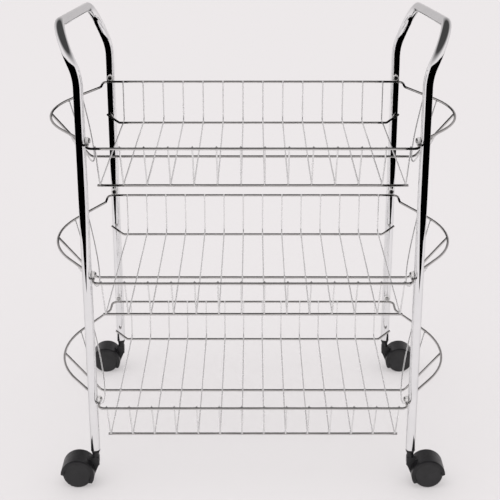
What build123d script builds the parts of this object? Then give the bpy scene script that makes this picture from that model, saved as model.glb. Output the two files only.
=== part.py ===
from build123d import *
import os
from math import cos, radians, sin, tan, acos

# Wire shelf cart: two bent chrome tubes, three welded wire baskets, four twin-wheel casters.
# Millimetres, +Z up, +X right, +Y to the back. The origin is on the floor, under the middle.

# Side frames: each is one tube, bent into an upside-down U. Its top leans outwards as a handle, and
# drops a little to the back.
tube_radius = 7.5
tube_wall = 1.2
leg_x = 256.0
leg_y = 200.0
leg_bottom_z = 63.0
top_z = 766.0
handle_drop = 42.0
handle_lean = 30.0
lean_start_z = 684.0
lean_bend_radius = 90.0
handle_corner_radius = 56.0

# Baskets: heights of their floors, and the section of the wires.
basket_floors = {"lower": 77.0, "middle": 293.0, "upper": 509.0}
basket_depth = 70.0
rim_radius = 2.0
cross_radius = 2.0
thin_radius = 1.2
weld_depth = 0.2
rest_gap = 0.3
floor_wire_count = 14
floor_wire_pitch = 35.8
floor_wire_overshoot = 3.0
rear_wall_bend_radius = 8.0
front_wall_bend_radius = 10.0

# Rim outline: it runs inside the front legs, swells out between the legs and passes before the rear legs.
rim_front_y = -217.6
rim_front_x = leg_x - tube_radius - rest_gap - rim_radius
rim_rear_y = leg_y - tube_radius - rest_gap - rim_radius
rim_rear_x = 268.0
rim_rear_turn_y = 152.0
rim_past_front_leg = 9.0
rim_swell = (358.0, -27.0)
rim_swell_radius = 190.0

# Cross wires under the floor, and the bowed wires that hang from the rim's swelling sides.
front_wall_foot_y = -178.0
front_cross_set_back = 7.0
front_cross_overhang = 5.0
rear_cross_set_forward = 12.0
rear_cross_turn_x = 241.0
rear_cross_tip = Vector(264.0, 10.0, 13.0)
rear_cross_bend_radius = 6.0
middle_wire_y = -24.0
brace_foot_x = 266.0
brace_bend_radius = 12.0
low_bow_ends_y = (96.0, -166.0)
low_bow_inset = 5.0
high_bow_ends_y = (62.0, -138.0)
high_bow_climb = 28.0
bow_end_inset = 1.8

# Ring lugs on the rims, and the screws through them that hold each basket to the legs.
lug_radius = 5.4
lug_length = 4.6
lug_rise = rim_radius + lug_radius - weld_depth
screw_radius = 2.0
screw_length = 15.0
screw_head_radius = 4.0
screw_head_height = 2.6
screw_head_round = 1.6
screw_slot = (4.6, 1.0, 1.4)

# Casters, drawn with the stem at the origin and the wheels trailing towards +X.
wheel_radius = 24.0
wheel_width = 13.0
wheel_outer_round = 4.0
wheel_inner_round = 1.8
wheel_face_wall = 2.6
wheel_trail = 29.0
web_half = 3.5
wheel_gap = 0.6
axle_radius = 2.5
axle_end_gap = 0.4
axle_boss_radius = 8.0
stem_radius = 4.0
collar_radius = 5.2
socket_flange = 2.0
running_gap = 0.06
hood_radius = 27.4
hood_round = 3.0
hood_wall = 2.0
tread_gap = 1.4
hood_half_width = web_half + wheel_gap + wheel_width + wheel_gap + hood_wall + 0.4
hood_slant = 18.0
hood_edge_drop = 6.5
skirt_radius = 21.5
boss_radius = 5.6
boss_rim_radius = 6.6
boss_floor_z = 37.0
boss_top_z = 59.4
stem_top_z = leg_bottom_z + 32.0


def bent_path(points, radii, closed=False):
    """A wire of straight runs through the points, with an arc of the given radius at each bend."""
    corners = [Vector(*p) for p in points]
    count = len(corners)
    runs = []
    bends = range(count) if closed else range(1, count - 1)
    arcs = {}
    for i in bends:
        here = corners[i]
        back = (corners[i - 1] - here).normalized()
        ahead = (corners[(i + 1) % count] - here).normalized()
        half_angle = acos(max(-1.0, min(1.0, back.dot(ahead)))) / 2
        reach = radii[i] / tan(half_angle)
        middle = here + (back + ahead).normalized() * (radii[i] / sin(half_angle) - radii[i])
        arcs[i] = (here + back * reach, middle, here + ahead * reach)
    last = count if closed else count - 1
    for i in range(last):
        j = (i + 1) % count
        start = arcs[i][2] if i in arcs else corners[i]
        end = arcs[j][0] if j in arcs else corners[j]
        runs.append(Line(start, end))
        if j in arcs:
            runs.append(ThreePointArc(*arcs[j]))
    return Wire(runs)


def rod(path, radius):
    """A round bar along a wire."""
    start = path.edges()[0]
    face = Plane(origin=start @ 0, z_dir=start % 0) * Circle(radius)
    return sweep(face, path=path)


def straight(start, end, radius):
    """A straight round bar from one point to another."""
    axis = Vector(*end) - Vector(*start)
    face = Plane(origin=start, z_dir=axis) * Circle(radius)
    return extrude(face, amount=axis.length)


def mirrored(shape):
    """The same shape on the other side of the cart."""
    return mirror(shape, about=Plane.YZ)


def side_frame():
    """The right-hand tube, with a hole for each basket screw."""
    bar_x = leg_x + handle_lean
    bar_z = top_z - tube_radius
    corners = [
        (leg_x, -leg_y, leg_bottom_z),
        (leg_x, -leg_y, lean_start_z),
        (bar_x, -leg_y, bar_z),
        (bar_x, leg_y, bar_z - handle_drop),
        (leg_x, leg_y, lean_start_z - handle_drop),
        (leg_x, leg_y, leg_bottom_z),
    ]
    radii = [0, lean_bend_radius, handle_corner_radius, handle_corner_radius, lean_bend_radius, 0]
    path = bent_path(corners, radii)
    tube = rod(path, tube_radius) - rod(path, tube_radius - tube_wall)
    for floor_z in basket_floors.values():
        hole_z = floor_z + basket_depth + lug_rise
        tube -= straight((leg_x - tube_radius - 1, -leg_y, hole_z), (leg_x, -leg_y, hole_z), screw_radius)
        tube -= straight((leg_x, leg_y - tube_radius - 1, hole_z), (leg_x, leg_y, hole_z), screw_radius)
    return tube


def leg_socket(x, y):
    """The plastic plug in the foot of a leg, which grips the caster stem."""
    inner_radius = tube_radius - tube_wall
    flange = straight((x, y, leg_bottom_z - socket_flange), (x, y, leg_bottom_z), tube_radius)
    sleeve = straight((x, y, leg_bottom_z), (x, y, stem_top_z), inner_radius)
    bore = straight((x, y, leg_bottom_z - socket_flange - 1), (x, y, stem_top_z + 1), stem_radius)
    return flange + sleeve - bore


def rim_corners(rim_z):
    """The rim's bends, round the loop, and the radius of each."""
    right = [
        (rim_front_x, rim_front_y, 10),
        (rim_front_x, -leg_y + rim_past_front_leg, 14),
        (rim_swell[0], rim_swell[1], rim_swell_radius),
        (rim_rear_x, rim_rear_turn_y, 25),
        (rim_rear_x, rim_rear_y, 12),
    ]
    left = [(-x, y, radius) for x, y, radius in reversed(right)]
    loop = right + left
    return [(x, y, rim_z) for x, y, radius in loop], [radius for x, y, radius in loop]


def rim_path(rim_z):
    corners, radii = rim_corners(rim_z)
    return bent_path(corners, radii, closed=True)


def rim_x(y):
    """How far out the rim's swelling side is at a given y."""
    line = Line((200, y, 0), (400, y, 0))
    crossings = [v for v in rim_path(0).edges().sort_by(Axis.X) if v.distance_to(line) < 0.01]
    return crossings[-1].distance_to_with_closest_points(line)[1].X


def floor_wires(floor_z):
    """The thin wires that run front to back, up the rear wall and out along the front wall."""
    rim_z = floor_z + basket_depth
    rear_y = rim_rear_y - rim_radius - thin_radius + weld_depth
    front_y = rim_front_y + rim_radius + thin_radius - weld_depth
    lean = (front_wall_foot_y - front_y) / basket_depth
    wires = []
    for i in range(floor_wire_count):
        x = (i - (floor_wire_count - 1) / 2) * floor_wire_pitch
        corners = [
            (x, rear_y, rim_z + floor_wire_overshoot),
            (x, rear_y, floor_z),
            (x, front_wall_foot_y, floor_z),
            (x, front_y - lean * floor_wire_overshoot, rim_z + floor_wire_overshoot),
        ]
        path = bent_path(corners, [0, rear_wall_bend_radius, front_wall_bend_radius, 0])
        wires.append(rod(path, thin_radius))
    return Compound(children=wires)


def front_cross_wire(floor_z):
    z = floor_z - thin_radius - cross_radius + weld_depth
    half = floor_wire_pitch * (floor_wire_count - 1) / 2 + front_cross_overhang
    y = front_wall_foot_y + front_cross_set_back
    return straight((-half, y, z), (half, y, z), cross_radius)


def rear_cross_wire(floor_z):
    """The rear floor wire, whose ends turn up before the rear legs."""
    z = floor_z - thin_radius - cross_radius + weld_depth
    y = rim_rear_y - rear_cross_set_forward
    tip = rear_cross_tip + Vector(0, y, z)
    corners = [(-tip.X, tip.Y, tip.Z), (-rear_cross_turn_x, y, z), (rear_cross_turn_x, y, z), tuple(tip)]
    return rod(bent_path(corners, [0, rear_cross_bend_radius, rear_cross_bend_radius, 0]), cross_radius)


def brace_ends(floor_z):
    """Where the right-hand brace leaves the floor and where it meets the rim."""
    foot = Vector(brace_foot_x, middle_wire_y, floor_z - thin_radius - cross_radius + weld_depth)
    rim = Vector(rim_x(middle_wire_y), middle_wire_y, floor_z + basket_depth)
    return foot, rim - (rim - foot).normalized() * (rim_radius - 1)


def middle_cross_wire(floor_z):
    """The middle floor wire, whose ends slope up and out to the rim and brace its swelling sides."""
    foot, head = brace_ends(floor_z)
    corners = [(-head.X, head.Y, head.Z), (-foot.X, foot.Y, foot.Z), tuple(foot), tuple(head)]
    return rod(bent_path(corners, [0, brace_bend_radius, brace_bend_radius, 0]), cross_radius)


def side_wires(floor_z):
    """Two thin bowed wires that hang from the right swelling side of the rim and cross the middle wire."""
    foot, head = brace_ends(floor_z)
    slope = (head - foot).normalized()
    stand_off = Vector(-slope.Z, 0, slope.X) * (cross_radius + thin_radius - weld_depth)
    low_foot = Vector(foot.X - low_bow_inset, middle_wire_y, floor_z)
    high_foot = foot + slope * high_bow_climb + stand_off
    rim_end_z = floor_z + basket_depth - bow_end_inset
    wires = []
    for crossing, (rear_y, front_y) in ((low_foot, low_bow_ends_y), (high_foot, high_bow_ends_y)):
        rear = (rim_x(rear_y) - bow_end_inset, rear_y, rim_end_z)
        front = (rim_x(front_y) - bow_end_inset, front_y, rim_end_z)
        wires.append(rod(Wire([ThreePointArc(rear, crossing, front)]), thin_radius))
    return Compound(children=wires)


def at_each_leg(make, distance):
    """Four copies of a fixing, that far before the legs: two point outwards in front, two point back."""
    front = Pos(leg_x - tube_radius - distance, -leg_y, 0) * make((1, 0, 0))
    rear = Pos(leg_x, leg_y - tube_radius - distance, 0) * make((0, 1, 0))
    return Compound(children=[front, mirrored(front), rear, mirrored(rear)])


def lug(axis):
    """A short ring that stands on the rim and spaces the screw's head off the leg."""
    ring = Plane(origin=(0, 0, 0), z_dir=axis) * (Circle(lug_radius) - Circle(screw_radius))
    return extrude(ring, amount=lug_length)


def basket_lugs(floor_z):
    return Pos(0, 0, floor_z + basket_depth + lug_rise) * at_each_leg(lug, lug_length)


def screw(axis):
    """A pan-head screw whose head sits behind the origin and whose shank points along the axis."""
    along = Vector(*axis)
    head = straight(along * -screw_head_height, (0, 0, 0), screw_head_radius)
    head = fillet(head.edges().sort_by(Axis(origin=(0, 0, 0), direction=axis))[0], screw_head_round)
    shank = straight((0, 0, 0), along * screw_length, screw_radius)
    body = head + shank
    driver = Plane(origin=along * -screw_head_height, z_dir=axis)
    for turn in (0, 90):
        body -= driver * Pos(0, 0, screw_slot[2] / 2) * Rot(0, 0, turn) * Box(*screw_slot)
    return body


def basket_screws(floor_z):
    return Pos(0, 0, floor_z + basket_depth + lug_rise) * at_each_leg(screw, lug_length)


def across(radius, y_from, y_to, x=wheel_trail, z=wheel_radius):
    """A cylinder along Y, about the axle unless told otherwise."""
    return straight((x, y_from, z), (x, y_to, z), radius)


def caster_wheel():
    """The rear wheel of the pair: a plain tread, a closed outer face with a round edge, a blind bore."""
    inner = web_half + wheel_gap
    outer = inner + wheel_width
    wheel = across(wheel_radius, inner, outer)
    rims = wheel.edges().filter_by(GeomType.CIRCLE).sort_by(Axis.Y)
    wheel = fillet(rims[-1], wheel_outer_round)
    wheel = fillet(wheel.edges().filter_by(GeomType.CIRCLE).sort_by(Axis.Y)[0], wheel_inner_round)
    return wheel - across(axle_radius + running_gap, inner - 1, outer - wheel_face_wall)


def caster_axle():
    """The steel axle, which ends inside the two wheels."""
    tip = web_half + wheel_gap + wheel_width - wheel_face_wall - axle_end_gap
    pin = across(axle_radius, -tip, tip)
    return chamfer(pin.edges().filter_by(GeomType.CIRCLE), 0.5)


def caster_hood():
    """The moulded hood: a fender over both wheels, a web between them and a boss for the stem."""
    well_radius = wheel_radius + tread_gap
    well_outer = hood_half_width - hood_wall
    shell = across(hood_radius, -hood_half_width, hood_half_width)
    shell = fillet(shell.edges().filter_by(GeomType.CIRCLE), hood_round)
    edge_z = wheel_radius - hood_edge_drop
    keep = Pos(wheel_trail, 0, edge_z) * Rot(0, -hood_slant, 0) * Pos(0, 0, 40) * Box(90, 60, 80)
    shell = shell & keep
    boss = straight((0, 0, boss_floor_z - 3), (0, 0, boss_top_z - 4), boss_radius)
    flare = Pos(0, 0, boss_top_z - 2) * Cone(boss_radius, boss_rim_radius, 4)
    # The neck, from the side: down the boss, in towards the axle, and back up over the shell.
    side_view = Polyline(
        (-boss_radius, boss_top_z - 10),
        (-boss_radius, boss_floor_z + 1),
        (2, 20),
        (24, 20),
        (24, 50),
        (9, boss_top_z - 14),
        (boss_radius, boss_top_z - 10),
        close=True,
    )
    neck = extrude(Plane.XZ * make_face(side_view), amount=boss_radius, both=True)
    shell = shell + boss + flare + neck
    for side in (-1, 1):
        shell -= across(well_radius, side * web_half, side * well_outer)
        shell -= across(skirt_radius, side * (well_outer - 1), side * (hood_half_width + 1))
    web = across(hood_radius - 1, -web_half, web_half) & keep
    axle_boss = across(axle_boss_radius, -web_half, web_half)
    hood = shell + web + axle_boss
    hood -= straight((0, 0, boss_floor_z), (0, 0, boss_top_z + 1), stem_radius + running_gap)
    return hood - across(axle_radius, -web_half - 1, web_half + 1)


def caster_stem():
    """The steel stem: free in the hood's boss, gripped by the leg socket, with a thrust collar."""
    pin = straight((0, 0, boss_floor_z + 1), (0, 0, stem_top_z), stem_radius)
    collar = straight((0, 0, boss_top_z + rest_gap), (0, 0, leg_bottom_z - socket_flange), collar_radius)
    pin = chamfer(pin.edges().filter_by(GeomType.CIRCLE).sort_by(Axis.Z)[-1], 1.0)
    return pin + collar


def build_nodes():
    nodes = {}
    right_frame = side_frame()
    nodes["right_side_frame"] = right_frame
    nodes["left_side_frame"] = mirrored(right_frame)

    for name, floor_z in basket_floors.items():
        rim_z = floor_z + basket_depth
        right_wires = side_wires(floor_z)
        nodes[f"{name}_basket_rim"] = rod(rim_path(rim_z), rim_radius)
        nodes[f"{name}_basket_floor_wires"] = floor_wires(floor_z)
        nodes[f"{name}_basket_front_wire"] = front_cross_wire(floor_z)
        nodes[f"{name}_basket_middle_wire"] = middle_cross_wire(floor_z)
        nodes[f"{name}_basket_rear_wire"] = rear_cross_wire(floor_z)
        nodes[f"{name}_basket_right_side_wires"] = right_wires
        nodes[f"{name}_basket_left_side_wires"] = mirrored(right_wires)
        nodes[f"{name}_basket_lugs"] = basket_lugs(floor_z)
        nodes[f"{name}_basket_screws"] = basket_screws(floor_z)

    rear_wheel = caster_wheel()
    caster_parts = {
        "stem": caster_stem(),
        "hood": caster_hood(),
        "axle": caster_axle(),
        "rear_wheel": rear_wheel,
        "front_wheel": mirror(rear_wheel, about=Plane.XZ),
    }
    for end, y in (("front", -leg_y), ("rear", leg_y)):
        for side, x in (("right", leg_x), ("left", -leg_x)):
            corner = f"{end}_{side}"
            nodes[f"{corner}_leg_socket"] = leg_socket(x, y)
            for part, shape in caster_parts.items():
                shape = shape if side == "right" else mirrored(shape)
                nodes[f"{corner}_caster_{part}"] = Pos(x, y, 0) * shape
    return nodes


os.makedirs("parts", exist_ok=True)
for node, shape in build_nodes().items():
    export_step(shape, f"parts/{node}.step")
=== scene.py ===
from math import acos, cos, pi, radians, sin, tan

import bpy
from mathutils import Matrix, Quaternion, Vector


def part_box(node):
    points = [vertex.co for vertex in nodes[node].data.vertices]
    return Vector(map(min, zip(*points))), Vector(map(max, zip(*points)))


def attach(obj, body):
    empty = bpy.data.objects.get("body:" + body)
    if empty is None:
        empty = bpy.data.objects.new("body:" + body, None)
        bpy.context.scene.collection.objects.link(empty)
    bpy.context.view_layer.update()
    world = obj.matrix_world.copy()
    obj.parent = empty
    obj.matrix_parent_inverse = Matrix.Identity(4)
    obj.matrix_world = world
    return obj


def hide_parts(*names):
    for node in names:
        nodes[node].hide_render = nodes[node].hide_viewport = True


# Wire shelf cart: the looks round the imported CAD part. Metres, +Z up, +Y to the back.
# The long tubes and wires are built again here as smooth swept bars, with welds where wires cross.
# Screws, sockets and casters stay CAD nodes and get their materials here.

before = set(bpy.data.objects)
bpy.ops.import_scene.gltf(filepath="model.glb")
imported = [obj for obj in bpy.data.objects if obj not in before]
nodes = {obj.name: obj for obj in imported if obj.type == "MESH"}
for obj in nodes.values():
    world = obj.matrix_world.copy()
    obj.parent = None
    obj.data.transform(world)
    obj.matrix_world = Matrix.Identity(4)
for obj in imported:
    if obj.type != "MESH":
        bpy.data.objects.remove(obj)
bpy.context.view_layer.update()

BASKETS = ("lower", "middle", "upper")
SIDES = {"left": -1, "right": 1}

# Side frames
TUBE_RADIUS = 0.0075
TUBE_CHAMFER = 0.0005
TOP_Z = 0.766
LEAN_START_Z = 0.684
LEAN_BEND_RADIUS = 0.090
HANDLE_CORNER_RADIUS = 0.056
HANDLE_DROP = 0.042

# Basket wires
RIM_RADIUS = 0.0020
CROSS_RADIUS = 0.0020
THIN_RADIUS = 0.0012
WELD_DEPTH = 0.0002
REST_GAP = 0.0003
BASKET_DEPTH = 0.070
WIRE_COUNT = 14
WIRE_PITCH = 0.0358
WIRE_OVERSHOOT = 0.003
FRONT_CROSS_SET_BACK = 0.007
FRONT_CROSS_OVERHANG = 0.005
REAR_CROSS_SET_FORWARD = 0.012
REAR_CROSS_TURN_X = 0.241
REAR_CROSS_TIP = Vector((0.264, 0.010, 0.013))
REAR_CROSS_BEND_RADIUS = 0.006
REAR_BEND_RADIUS = 0.008
FRONT_BEND_RADIUS = 0.010
FRONT_WALL_FOOT_Y = -0.178
RIM_REAR_X = 0.268
RIM_REAR_TURN_Y = 0.152
RIM_PAST_FRONT_LEG = 0.009
RIM_SWELL = (0.358, -0.027)
RIM_FRONT_CORNER_RADIUS = 0.010
RIM_FRONT_TURN_RADIUS = 0.014
RIM_SWELL_RADIUS = 0.190
RIM_REAR_TURN_RADIUS = 0.025
RIM_REAR_CORNER_RADIUS = 0.012
MIDDLE_WIRE_Y = -0.024
BRACE_FOOT_X = 0.266
BRACE_BEND_RADIUS = 0.012
BRACE_END_DEPTH = 0.001
SIDE_WIRE_INSET = 0.0018
LOW_BOW_INSET = 0.005
LOW_BOW_ENDS_Y = (0.096, -0.166)
HIGH_BOW_CLIMB = 0.028
HIGH_BOW_ENDS_Y = (0.062, -0.138)

# Half sizes of the weld beads, along X, Y and Z
CROSS_BEAD = (0.0023, 0.0025, 0.0011)
WALL_BEAD = (0.0023, 0.0011, 0.0026)
BOW_END_BEAD = (0.0018, 0.0024, 0.0018)
BOW_FOOT_BEAD = (0.0020, 0.0024, 0.0012)
BRACE_BEAD = (0.0022, 0.0030, 0.0018)
FRONT_LUG_BEAD = (0.0026, 0.0034, 0.0012)
REAR_LUG_BEAD = (0.0034, 0.0026, 0.0012)
BOW_END_BEAD_SHIFT = (0.0006, 0.0004)
BRACE_BEAD_SHIFT = (0.001, 0.0012)

# Ring lugs
LUG_RADIUS = 0.0054
LUG_BORE = 0.0020
LUG_LENGTH = 0.0046
LUG_EDGE = 0.0006

# How finely curves are drawn
ARC_STEP = radians(4)
BOW_STEPS = 40
TUBE_SIDES = 40
WIRE_SIDES = 20
THIN_SIDES = 14
LUG_SIDES = 40
BEAD_SIDES = 10
BEAD_ROWS = 6
SHARP_ANGLE = radians(50)

# A bar's end is rounded over this share of its radius, with a shoulder part of the way
END_SOFTNESS = 0.35
SHOULDER = 0.3

frame_low, frame_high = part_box("right_side_frame")
LEG_X = frame_low.x + TUBE_RADIUS
LEG_Y = frame_high.y - TUBE_RADIUS
LEG_BOTTOM_Z = frame_low.z
BAR_X = frame_high.x - TUBE_RADIUS
BAR_Z = TOP_Z - TUBE_RADIUS


# ---------------------------------------------------------------- paths

def bent_path(points, radii, closed=False):
    """Points along straight runs, with an arc of the given radius at each corner."""
    corners = [Vector(p) for p in points]
    count = len(corners)
    path = []
    for i, here in enumerate(corners):
        if not closed and i in (0, count - 1):
            path.append(here)
            continue
        back = (corners[i - 1] - here).normalized()
        ahead = (corners[(i + 1) % count] - here).normalized()
        half = acos(max(-1.0, min(1.0, back.dot(ahead)))) / 2
        start = here + back * (radii[i] / tan(half))
        centre = here + (back + ahead).normalized() * (radii[i] / sin(half))
        turn = pi - 2 * half
        steps = max(2, round(turn / ARC_STEP))
        axis = back.cross(ahead).normalized()
        for k in range(steps + 1):
            spin = Quaternion(axis, -turn * k / steps)
            path.append(centre + spin @ (start - centre))
    return path


def arc_through(start, middle, end, steps=BOW_STEPS):
    """Points along the circle through three points."""
    a, b, c = Vector(start), Vector(middle), Vector(end)
    u = (b - a).normalized()
    normal = u.cross(c - a).normalized()
    v = normal.cross(u)
    bx = (b - a).length
    cx, cy = (c - a).dot(u), (c - a).dot(v)
    centre_v = (cx * cx + cy * cy - bx * cx) / (2 * cy)
    centre = a + u * (bx / 2) + v * centre_v
    turn = (a - centre).angle(b - centre) + (b - centre).angle(c - centre)
    sense = 1 if (a - centre).cross(b - centre).dot(normal) > 0 else -1
    return [centre + Quaternion(normal, sense * turn * k / steps) @ (a - centre) for k in range(steps + 1)]


def mirrored(path):
    return [Vector((-p.x, p.y, p.z)) for p in path]


# ---------------------------------------------------------------- meshes

class Mesh:
    """Vertices and faces gathered from several shapes, for one piece."""

    def __init__(self):
        self.verts = []
        self.faces = []

    def loops(self, rings, closed):
        """Joins rings of equally many points. An open run is capped at both ends."""
        first = len(self.verts)
        sides = len(rings[0])
        for ring in rings:
            self.verts.extend(ring)
        last = len(rings) if closed else len(rings) - 1
        for i in range(last):
            here = first + i * sides
            there = first + (i + 1) % len(rings) * sides
            for k in range(sides):
                n = (k + 1) % sides
                self.faces.append((here + k, here + n, there + n, there + k))
        if not closed:
            end = first + (len(rings) - 1) * sides
            self.faces.append(tuple(first + k for k in reversed(range(sides))))
            self.faces.append(tuple(end + k for k in range(sides)))

    def bar(self, path, radius, sides, closed=False, edge=None):
        """A round bar along the path. Its open ends are softened by the given edge."""
        edge = radius * END_SOFTNESS if edge is None else edge
        count = len(path)
        tangents = []
        for i, p in enumerate(path):
            before = path[i - 1] if closed or i > 0 else p
            after = path[(i + 1) % count] if closed or i < count - 1 else p
            tangents.append(((p - before).normalized() + (after - p).normalized()).normalized())
        side = tangents[0].orthogonal().normalized()
        rings = []
        for i, p in enumerate(path):
            if i:
                side = tangents[i - 1].rotation_difference(tangents[i]) @ side
            side = (side - tangents[i] * side.dot(tangents[i])).normalized()
            up = tangents[i].cross(side)
            spokes = [side * cos(2 * pi * k / sides) + up * sin(2 * pi * k / sides) for k in range(sides)]
            if closed or 0 < i < count - 1:
                rings.append([p + s * radius for s in spokes])
                continue
            inwards = tangents[i] * (edge if i == 0 else -edge)
            tip = [p + s * (radius - edge) for s in spokes]
            shoulder = [p + inwards * SHOULDER + s * (radius - edge * SHOULDER) for s in spokes]
            full = [p + inwards + s * radius for s in spokes]
            rings.extend([tip, shoulder, full] if i == 0 else [full, shoulder, tip])
        self.loops(rings, closed)

    def ring(self, centre, axis, bore, radius, length, edge, sides=LUG_SIDES):
        """A short tube about an axis, starting at the centre, with rounded edges."""
        cut = edge * SHOULDER
        section = [
            (bore, edge), (bore + edge, 0.0), (radius - edge, 0.0), (radius - cut, cut), (radius, edge),
            (radius, length - edge), (radius - cut, length - cut), (radius - edge, length),
            (bore + edge, length), (bore, length - edge),
        ]
        side = axis.orthogonal().normalized()
        up = axis.cross(side)
        rings = []
        for k in range(sides):
            out = side * cos(2 * pi * k / sides) + up * sin(2 * pi * k / sides)
            rings.append([centre + out * r + axis * a for r, a in section])
        self.loops(rings, closed=True)

    def bead(self, centre, half_sizes, around=BEAD_SIDES, rows=BEAD_ROWS):
        """A small rounded lump of weld metal."""
        rings = []
        for j in range(rows):
            lift = -cos(pi * (j + 0.5) / rows)
            reach = (1 - lift * lift) ** 0.5
            rings.append([
                centre + Vector((
                    half_sizes[0] * reach * cos(2 * pi * k / around),
                    half_sizes[1] * reach * sin(2 * pi * k / around),
                    half_sizes[2] * lift,
                ))
                for k in range(around)
            ])
        self.loops(rings, closed=False)

    def piece(self, name, material, slot, *replaced):
        """Turns the mesh into a smooth piece that rides on the cart's frame."""
        mesh = bpy.data.meshes.new(name)
        mesh.from_pydata([tuple(v) for v in self.verts], [], self.faces)
        mesh.polygons.foreach_set("use_smooth", [True] * len(mesh.polygons))
        mesh.set_sharp_from_angle(angle=SHARP_ANGLE)
        mesh.materials.append(material)
        mesh.validate()
        obj = bpy.data.objects.new(name, mesh)
        bpy.context.scene.collection.objects.link(obj)
        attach(obj, "root")
        if replaced:
            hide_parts(*replaced)
        return obj


# ---------------------------------------------------------------- materials

class Nodes:
    """A new material's node tree, with the object's own coordinates ready to use."""

    def __init__(self, name):
        self.material = bpy.data.materials.new(name)
        self.material.use_nodes = True
        self.tree = self.material.node_tree
        self.shader = self.tree.nodes["Principled BSDF"]
        self.place = self.tree.nodes.new("ShaderNodeTexCoord").outputs["Object"]

    def link(self, a, b):
        self.tree.links.new(a, b)

    def noise(self, scale, detail=3.0, roughness=0.5, stretch=(1, 1, 1)):
        mapping = self.tree.nodes.new("ShaderNodeMapping")
        mapping.inputs["Scale"].default_value = stretch
        self.link(self.place, mapping.inputs["Vector"])
        noise = self.tree.nodes.new("ShaderNodeTexNoise")
        noise.inputs["Scale"].default_value = scale
        noise.inputs["Detail"].default_value = detail
        noise.inputs["Roughness"].default_value = roughness
        self.link(mapping.outputs["Vector"], noise.inputs["Vector"])
        return noise.outputs["Fac"]

    def colours(self, fac, dark, light, low=0.3, high=0.7):
        ramp = self.tree.nodes.new("ShaderNodeValToRGB")
        ramp.color_ramp.elements[0].position = low
        ramp.color_ramp.elements[1].position = high
        ramp.color_ramp.elements[0].color = (*dark, 1)
        ramp.color_ramp.elements[1].color = (*light, 1)
        self.link(fac, ramp.inputs["Fac"])
        self.link(ramp.outputs["Color"], self.shader.inputs["Base Color"])

    def roughness(self, fac, low, high):
        spread = self.tree.nodes.new("ShaderNodeMapRange")
        spread.inputs["From Min"].default_value = 0.3
        spread.inputs["From Max"].default_value = 0.7
        spread.inputs["To Min"].default_value = low
        spread.inputs["To Max"].default_value = high
        self.link(fac, spread.inputs["Value"])
        self.link(spread.outputs["Result"], self.shader.inputs["Roughness"])

    def bump(self, fac, height, strength=1.0, under=None):
        bump = self.tree.nodes.new("ShaderNodeBump")
        bump.inputs["Strength"].default_value = strength
        bump.inputs["Distance"].default_value = height
        self.link(fac, bump.inputs["Height"])
        if under is not None:
            self.link(under, bump.inputs["Normal"])
        self.link(bump.outputs["Normal"], self.shader.inputs["Normal"])
        return bump.outputs["Normal"]


def plated(name, dark, light, rough_low, rough_high, edge_tint, ripple, metallic=1.0):
    """Bright plating: nearly a mirror, with faint cloudiness and ripples, and darker at grazing angles."""
    m = Nodes(name)
    m.shader.inputs["Metallic"].default_value = metallic
    m.shader.inputs["Specular Tint"].default_value = (edge_tint, edge_tint, edge_tint, 1)
    m.colours(m.noise(22, 4.0), dark, light)
    m.roughness(m.noise(60, 5.0, 0.6), rough_low, rough_high)
    m.bump(m.noise(35, 2.0), ripple, 0.6)
    return m.material


def steel(name, dark, light, rough_low, rough_high, stretch):
    """Turned or zinc-plated steel: greyer, with fine marks drawn out one way."""
    m = Nodes(name)
    m.shader.inputs["Metallic"].default_value = 1.0
    marks = m.noise(500, 4.0, 0.6, stretch)
    m.colours(m.noise(160, 3.0), dark, light)
    m.roughness(marks, rough_low, rough_high)
    m.bump(marks, 0.00002, 0.7)
    return m.material


def moulded(name, dark, light, rough_low, rough_high, grain_scale, grain_height):
    """Black moulded plastic: faint flow marks, a fine grain, and slow waves in its surface."""
    m = Nodes(name)
    m.shader.inputs["IOR"].default_value = 1.42
    m.colours(m.noise(90, 4.0, 0.6), dark, light)
    m.roughness(m.noise(240, 3.0), rough_low, rough_high)
    waves = m.bump(m.noise(55, 1.0), 0.00012, 0.5)
    m.bump(m.noise(grain_scale, 2.0), grain_height, 0.8, under=waves)
    return m.material


CHROME = plated("chrome_tube", (0.86, 0.865, 0.875), (0.93, 0.93, 0.935), 0.03, 0.07, 0.65, 0.00002)
# The rim and cross wires get a darker plating colour than the tubes as painted reflection: it stands in for the
# dark room these wires reflect.
DARK_REFLECTION_WIRE = plated("dark_reflection_wire", (0.50, 0.49, 0.48), (0.64, 0.63, 0.62), 0.14, 0.24, 0.6, 0.00003)
THIN_WIRE = plated("thin_wire", (0.78, 0.78, 0.78), (0.88, 0.88, 0.88), 0.20, 0.32, 0.85, 0.00002, 0.85)
LUG = plated("ring_lug", (0.62, 0.62, 0.61), (0.74, 0.74, 0.73), 0.22, 0.34, 0.7, 0.00003, 0.5)
WELD = plated("basket_weld", (0.34, 0.34, 0.34), (0.50, 0.50, 0.50), 0.26, 0.40, 0.6, 0.00006)
SCREW_STEEL = steel("screw_steel", (0.50, 0.50, 0.49), (0.68, 0.68, 0.67), 0.22, 0.36, (1, 1, 1))
BLACK_STEEL = steel("caster_steel", (0.10, 0.10, 0.105), (0.18, 0.18, 0.185), 0.20, 0.34, (1, 1, 9))
SOCKET = moulded("socket_plastic", (0.012, 0.012, 0.012), (0.022, 0.022, 0.022), 0.42, 0.55, 1800, 0.00003)
HOOD = moulded("caster_plastic", (0.005, 0.005, 0.0055), (0.010, 0.010, 0.011), 0.34, 0.46, 1500, 0.00004)
WHEEL = moulded("wheel_plastic", (0.009, 0.009, 0.0095), (0.016, 0.016, 0.017), 0.30, 0.42, 2200, 0.00002)


# ---------------------------------------------------------------- side frames

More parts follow.
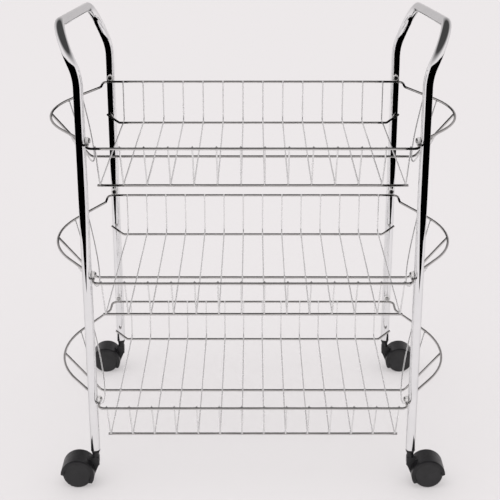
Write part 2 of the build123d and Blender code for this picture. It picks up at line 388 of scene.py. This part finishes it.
def side_frame_path():
    """The right-hand tube's centre line, from the foot of its front leg to the foot of its rear one."""
    corners = [
        (LEG_X, -LEG_Y, LEG_BOTTOM_Z),
        (LEG_X, -LEG_Y, LEAN_START_Z),
        (BAR_X, -LEG_Y, BAR_Z),
        (BAR_X, LEG_Y, BAR_Z - HANDLE_DROP),
        (LEG_X, LEG_Y, LEAN_START_Z - HANDLE_DROP),
        (LEG_X, LEG_Y, LEG_BOTTOM_Z),
    ]
    lean, corner = LEAN_BEND_RADIUS, HANDLE_CORNER_RADIUS
    return bent_path(corners, [0, lean, corner, corner, lean, 0])


for side_name, side_sign in SIDES.items():
    path = side_frame_path()
    if side_sign < 0:
        path = mirrored(path)
    tube = Mesh()
    tube.bar(path, TUBE_RADIUS, TUBE_SIDES, edge=TUBE_CHAMFER)
    tube.piece(f"{side_name}_bent_tube", CHROME, "chrome_tube", f"{side_name}_side_frame")


# ---------------------------------------------------------------- baskets

rim_low, rim_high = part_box("lower_basket_rim")
RIM_FRONT_Y = rim_low.y + RIM_RADIUS
RIM_REAR_Y = rim_high.y - RIM_RADIUS
RIM_FRONT_X = LEG_X - TUBE_RADIUS - REST_GAP - RIM_RADIUS
WIRE_REAR_Y = RIM_REAR_Y - RIM_RADIUS - THIN_RADIUS + WELD_DEPTH
WIRE_FRONT_Y = RIM_FRONT_Y + RIM_RADIUS + THIN_RADIUS - WELD_DEPTH
CROSS_DROP = THIN_RADIUS + CROSS_RADIUS - WELD_DEPTH
FRONT_CROSS_Y = FRONT_WALL_FOOT_Y + FRONT_CROSS_SET_BACK
REAR_CROSS_Y = RIM_REAR_Y - REAR_CROSS_SET_FORWARD
WIRE_XS = [(i - (WIRE_COUNT - 1) / 2) * WIRE_PITCH for i in range(WIRE_COUNT)]


def rim_path(rim_z):
    """The rim's closed centre line. Each corner of its right half is x, y and the radius of the bend."""
    right = [
        (RIM_FRONT_X, RIM_FRONT_Y, RIM_FRONT_CORNER_RADIUS),
        (RIM_FRONT_X, -LEG_Y + RIM_PAST_FRONT_LEG, RIM_FRONT_TURN_RADIUS),
        (*RIM_SWELL, RIM_SWELL_RADIUS),
        (RIM_REAR_X, RIM_REAR_TURN_Y, RIM_REAR_TURN_RADIUS),
        (RIM_REAR_X, RIM_REAR_Y, RIM_REAR_CORNER_RADIUS),
    ]
    left = [(-x, y, radius) for x, y, radius in reversed(right)]
    loop = right + left
    return bent_path([(x, y, rim_z) for x, y, _ in loop], [radius for _, _, radius in loop], closed=True)


def rim_x(y):
    """How far out the rim's right-hand side is at a given y."""
    path = rim_path(0.0)
    found = []
    for a, b in zip(path, path[1:] + path[:1]):
        if min(a.y, b.y) <= y <= max(a.y, b.y) and a.y != b.y:
            found.append(a.x + (b.x - a.x) * (y - a.y) / (b.y - a.y))
    return max(found)


def floor_wire_path(x, floor_z):
    """One floor wire: up the rear wall, along the floor and up the leaning front wall."""
    rim_z = floor_z + BASKET_DEPTH
    lean = (FRONT_WALL_FOOT_Y - WIRE_FRONT_Y) / BASKET_DEPTH
    corners = [
        (x, WIRE_REAR_Y, rim_z + WIRE_OVERSHOOT),
        (x, WIRE_REAR_Y, floor_z),
        (x, FRONT_WALL_FOOT_Y, floor_z),
        (x, WIRE_FRONT_Y - lean * WIRE_OVERSHOOT, rim_z + WIRE_OVERSHOOT),
    ]
    return bent_path(corners, [0, REAR_BEND_RADIUS, FRONT_BEND_RADIUS, 0])


def brace_ends(floor_z):
    """Where the middle wire turns up, and where it meets the rim, on the right."""
    foot = Vector((BRACE_FOOT_X, MIDDLE_WIRE_Y, floor_z - CROSS_DROP))
    rim = Vector((rim_x(MIDDLE_WIRE_Y), MIDDLE_WIRE_Y, floor_z + BASKET_DEPTH))
    return foot, rim - (rim - foot).normalized() * (RIM_RADIUS - BRACE_END_DEPTH)


def middle_wire_path(floor_z):
    """The middle cross wire with both its braces, from rim to rim."""
    foot, head = brace_ends(floor_z)
    corners = [(-head.x, head.y, head.z), (-foot.x, foot.y, foot.z), foot, head]
    return bent_path(corners, [0, BRACE_BEND_RADIUS, BRACE_BEND_RADIUS, 0])


def side_wire_paths(floor_z):
    """The two bowed wires under the right-hand swelling side of the rim."""
    foot, head = brace_ends(floor_z)
    slope = (head - foot).normalized()
    stand_off = Vector((-slope.z, 0, slope.x)) * CROSS_DROP
    low_foot = Vector((foot.x - LOW_BOW_INSET, MIDDLE_WIRE_Y, floor_z))
    high_foot = foot + slope * HIGH_BOW_CLIMB + stand_off
    end_z = floor_z + BASKET_DEPTH - SIDE_WIRE_INSET
    paths = []
    for crossing, (rear_y, front_y) in ((low_foot, LOW_BOW_ENDS_Y), (high_foot, HIGH_BOW_ENDS_Y)):
        rear = (rim_x(rear_y) - SIDE_WIRE_INSET, rear_y, end_z)
        front = (rim_x(front_y) - SIDE_WIRE_INSET, front_y, end_z)
        paths.append((arc_through(rear, crossing, front), crossing))
    return paths


def weld_beads(floor_z):
    """Lumps of weld metal wherever the wires of one basket cross."""
    beads = Mesh()
    rim_z = floor_z + BASKET_DEPTH
    lug_z = rim_z + RIM_RADIUS

    def bead(x, y, z, half_sizes):
        beads.bead(Vector((x, y, z)), half_sizes)

    for x in WIRE_XS:
        for y in (FRONT_CROSS_Y, MIDDLE_WIRE_Y, REAR_CROSS_Y):
            bead(x, y, floor_z - THIN_RADIUS, CROSS_BEAD)
        bead(x, RIM_REAR_Y - RIM_RADIUS, rim_z, WALL_BEAD)
        bead(x, RIM_FRONT_Y + RIM_RADIUS, rim_z, WALL_BEAD)
    for path, crossing in side_wire_paths(floor_z):
        for end in (path[0], path[-1]):
            for sign in SIDES.values():
                end_x = sign * (end.x + BOW_END_BEAD_SHIFT[0])
                bead(end_x, end.y, end.z + BOW_END_BEAD_SHIFT[1], BOW_END_BEAD)
        for sign in SIDES.values():
            bead(sign * crossing.x, crossing.y, crossing.z - THIN_RADIUS, BOW_FOOT_BEAD)
    head = brace_ends(floor_z)[1]
    for sign in SIDES.values():
        bead(sign * (head.x - BRACE_BEAD_SHIFT[0]), head.y, head.z - BRACE_BEAD_SHIFT[1], BRACE_BEAD)
        bead(sign * (LEG_X - TUBE_RADIUS - LUG_LENGTH / 2), -LEG_Y, lug_z, FRONT_LUG_BEAD)
        bead(sign * LEG_X, RIM_REAR_Y, lug_z, REAR_LUG_BEAD)
    return beads


for basket in BASKETS:
    rim_low, rim_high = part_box(f"{basket}_basket_rim")
    rim_z = (rim_low.z + rim_high.z) / 2
    floor_z = rim_z - BASKET_DEPTH
    cross_z = floor_z - CROSS_DROP

    rim = Mesh()
    rim.bar(rim_path(rim_z), RIM_RADIUS, WIRE_SIDES, closed=True)
    rim.piece(f"{basket}_rim_loop", DARK_REFLECTION_WIRE, "basket_wire", f"{basket}_basket_rim")

    floor = Mesh()
    for x in WIRE_XS:
        floor.bar(floor_wire_path(x, floor_z), THIN_RADIUS, THIN_SIDES)
    floor.piece(f"{basket}_floor_grid", THIN_WIRE, "basket_wire", f"{basket}_basket_floor_wires")

    half = WIRE_XS[-1] + FRONT_CROSS_OVERHANG
    front_ends = [Vector((x, FRONT_CROSS_Y, cross_z)) for x in (-half, half)]
    front = Mesh()
    front.bar(front_ends, CROSS_RADIUS, WIRE_SIDES)
    front.piece(f"{basket}_front_bar", DARK_REFLECTION_WIRE, "basket_wire", f"{basket}_basket_front_wire")

    middle = Mesh()
    middle.bar(middle_wire_path(floor_z), CROSS_RADIUS, WIRE_SIDES)
    middle.piece(f"{basket}_middle_bar", DARK_REFLECTION_WIRE, "basket_wire", f"{basket}_basket_middle_wire")

    rear = Mesh()
    tip = REAR_CROSS_TIP + Vector((0, REAR_CROSS_Y, cross_z))
    turn = Vector((REAR_CROSS_TURN_X, REAR_CROSS_Y, cross_z))
    rear_corners = [(-tip.x, tip.y, tip.z), (-turn.x, turn.y, turn.z), turn, tip]
    rear_radii = [0, REAR_CROSS_BEND_RADIUS, REAR_CROSS_BEND_RADIUS, 0]
    rear.bar(bent_path(rear_corners, rear_radii), CROSS_RADIUS, WIRE_SIDES)
    rear.piece(f"{basket}_rear_bar", DARK_REFLECTION_WIRE, "basket_wire", f"{basket}_basket_rear_wire")

    for side_name, side_sign in SIDES.items():
        bowed = Mesh()
        for path, _ in side_wire_paths(floor_z):
            bowed.bar(path if side_sign > 0 else mirrored(path), THIN_RADIUS, THIN_SIDES)
        bowed_name = f"{basket}_{side_name}_bowed_wires"
        bowed.piece(bowed_name, THIN_WIRE, "basket_wire", f"{basket}_basket_{side_name}_side_wires")

    lug_low, lug_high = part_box(f"{basket}_basket_lugs")
    lug_z = (lug_low.z + lug_high.z) / 2
    lugs = Mesh()
    for sign in SIDES.values():
        front_centre = Vector((sign * (LEG_X - TUBE_RADIUS - LUG_LENGTH), -LEG_Y, lug_z))
        rear_centre = Vector((sign * LEG_X, LEG_Y - TUBE_RADIUS - LUG_LENGTH, lug_z))
        lugs.ring(front_centre, Vector((sign, 0, 0)), LUG_BORE, LUG_RADIUS, LUG_LENGTH, LUG_EDGE)
        lugs.ring(rear_centre, Vector((0, 1, 0)), LUG_BORE, LUG_RADIUS, LUG_LENGTH, LUG_EDGE)
    lugs.piece(f"{basket}_ring_lugs", LUG, "basket_wire", f"{basket}_basket_lugs")

    weld_beads(floor_z).piece(f"{basket}_weld_beads", WELD, "basket_wire")


# ---------------------------------------------------------------- CAD nodes that stay

KEPT = {
    "_screws": SCREW_STEEL,
    "_leg_socket": SOCKET,
    "_caster_stem": BLACK_STEEL,
    "_caster_axle": BLACK_STEEL,
    "_caster_hood": HOOD,
    "_front_wheel": WHEEL,
    "_rear_wheel": WHEEL,
}
for node_name, obj in nodes.items():
    for ending, material in KEPT.items():
        if node_name.endswith(ending):
            obj.data.materials.clear()
            obj.data.materials.append(material)


# ---------------------------------------------------------------- studio

FLOOR_SIZE = 40.0
BACKGROUND = (0.846, 0.814, 0.821)
FLOOR_ALBEDO = 0.50

# The sun adds what the backdrop's own light lacks, so that the open floor comes out as bright as the backdrop
SUN_SHARE = 1 / FLOOR_ALBEDO - 1
SUN_SPREAD = radians(70)
SUN_TILT = radians(32)
SUN_SIDE = radians(-28)

# The leg cards, measured from the leg's centre line: how far ahead of it and to each side they reach, and where
# their foot starts, how much higher it is at its full width, and how far the card goes on above the leg's bend
CARD_AHEAD = 0.030
CARD_INNER = 0.029
CARD_OUTER = 0.050
CARD_DEPTH = 0.090
CARD_TIP = 0.009
CARD_TIP_Z = {"front": 0.325, "rear": 0.270}
CARD_TAPER = 0.145
CARD_PAST_BEND = 0.020

# The ceiling that reflections see, and the Z of a reflected ray's direction where it starts and where it is darkest
CEILING = (0.06, 0.06, 0.06)
CEILING_STARTS = 0.12
CEILING_FULL = 0.60


def sheet(name, corners, material, faces=((0, 1, 2, 3),)):
    """A flat or folded sheet that belongs to the studio."""
    mesh = bpy.data.meshes.new(name)
    mesh.from_pydata(corners, [], faces)
    mesh.materials.append(material)
    obj = bpy.data.objects.new(name, mesh)
    bpy.context.scene.collection.objects.link(obj)
    return obj


def matte(name, colour):
    """A plain colour with no shine."""
    material = bpy.data.materials.new(name)
    material.use_nodes = True
    shader = material.node_tree.nodes["Principled BSDF"]
    shader.inputs["Base Color"].default_value = (*colour, 1)
    shader.inputs["Roughness"].default_value = 1.0
    shader.inputs["Specular IOR Level"].default_value = 0.0
    return material


reach = FLOOR_SIZE / 2
tint = [c / max(BACKGROUND) for c in BACKGROUND]
floor_corners = [(-reach, -reach, 0), (reach, -reach, 0), (reach, reach, 0), (-reach, reach, 0)]
sheet("floor", floor_corners, matte("floor_paint", (FLOOR_ALBEDO, FLOOR_ALBEDO, FLOOR_ALBEDO)))

# A black card is folded round the outer side of each leg and seen only in reflections. It draws the dark
# streak in the chrome. The card's foot runs down to a point, and so does the streak.
card_black = matte("card_black", (0.0, 0.0, 0.0))


def leg_card(name, leg_x, leg_y, side_sign, tip_z, top_z):
    """One card: a face in front of the leg and a flap down its outer side."""
    face_y = leg_y - CARD_AHEAD
    back_y = face_y + CARD_DEPTH
    inner, tip, outer = [leg_x + side_sign * step for step in (-CARD_INNER, CARD_TIP, CARD_OUTER)]
    full_z = tip_z + CARD_TAPER
    corners = [
        (inner, face_y, full_z), (tip, face_y, tip_z), (outer, face_y, (tip_z + full_z) / 2),
        (outer, back_y, full_z), (outer, back_y, top_z), (outer, face_y, top_z), (inner, face_y, top_z),
    ]
    card = sheet(name, corners, card_black, [(0, 1, 2, 5, 6), (2, 3, 4, 5)])
    card.visible_camera = False
    card.visible_diffuse = False
    card.visible_shadow = False
    card.visible_transmission = False


CARD_LEGS = (("front", -LEG_Y, LEAN_START_Z), ("rear", LEG_Y, LEAN_START_Z - HANDLE_DROP))
for leg_name, leg_y, bend_z in CARD_LEGS:
    for side_name, side_sign in SIDES.items():
        card_name = f"{leg_name}_{side_name}_card"
        top_z = bend_z + CARD_PAST_BEND
        leg_card(card_name, side_sign * LEG_X, leg_y, side_sign, CARD_TIP_Z[leg_name], top_z)


def studio_world():
    """A backdrop of one plain colour. Reflections alone see a dark ceiling over it."""
    made = bpy.data.worlds.new("studio")
    made.use_nodes = True
    tree = made.node_tree
    direction = tree.nodes.new("ShaderNodeTexCoord")
    split = tree.nodes.new("ShaderNodeSeparateXYZ")
    tree.links.new(direction.outputs["Generated"], split.inputs["Vector"])
    climb = tree.nodes.new("ShaderNodeMapRange")
    climb.inputs["From Min"].default_value = CEILING_STARTS
    climb.inputs["From Max"].default_value = CEILING_FULL
    tree.links.new(split.outputs["Z"], climb.inputs["Value"])
    ray = tree.nodes.new("ShaderNodeLightPath")
    share = tree.nodes.new("ShaderNodeMath")
    share.operation = "MULTIPLY"
    tree.links.new(climb.outputs["Result"], share.inputs[0])
    tree.links.new(ray.outputs["Is Glossy Ray"], share.inputs[1])
    blend = tree.nodes.new("ShaderNodeMix")
    blend.data_type = "RGBA"
    low_colour, high_colour = [socket for socket in blend.inputs if socket.type == "RGBA"]
    low_colour.default_value = (*BACKGROUND, 1)
    high_colour.default_value = (*CEILING, 1)
    tree.links.new(share.outputs["Value"], blend.inputs[0])
    blended = next(out for out in blend.outputs if out.type == "RGBA")
    tree.links.new(blended, tree.nodes["Background"].inputs["Color"])
    return made


bpy.context.scene.world = studio_world()

sun_data = bpy.data.lights.new("soft_key", "SUN")
sun_data.angle = SUN_SPREAD
sun_data.color = tint
sun_data.energy = pi * SUN_SHARE * max(BACKGROUND) / cos(SUN_TILT)
sun_data.use_shadow = False
sun = bpy.data.objects.new("soft_key", sun_data)
sun.rotation_euler = (SUN_TILT, 0, SUN_SIDE)
sun.visible_glossy = False
bpy.context.scene.collection.objects.link(sun)

bpy.context.scene.view_settings.view_transform = "Standard"
bpy.context.scene.view_settings.look = "None"

# ---------------------------------------------------------------- camera

CAMERA_BACK = 1.90
CAMERA_HEIGHT = 1.099
CAMERA_PITCH = 0.3325
CAMERA_LENS = 86.07
CAMERA_SHIFT = (-0.0058, -0.124)
CAMERA_REACH = 100
SENSOR = 36.0

camera_data = bpy.data.cameras.new("camera")
camera_data.sensor_width = SENSOR
camera_data.lens = CAMERA_LENS
camera_data.shift_x = CAMERA_SHIFT[0]
camera_data.shift_y = CAMERA_SHIFT[1]
camera_data.clip_end = CAMERA_REACH
camera = bpy.data.objects.new("camera", camera_data)
camera.location = (0, -CAMERA_BACK, CAMERA_HEIGHT)
camera.rotation_euler = (pi / 2 - CAMERA_PITCH, 0, 0)
bpy.context.scene.collection.objects.link(camera)
bpy.context.scene.camera = camera
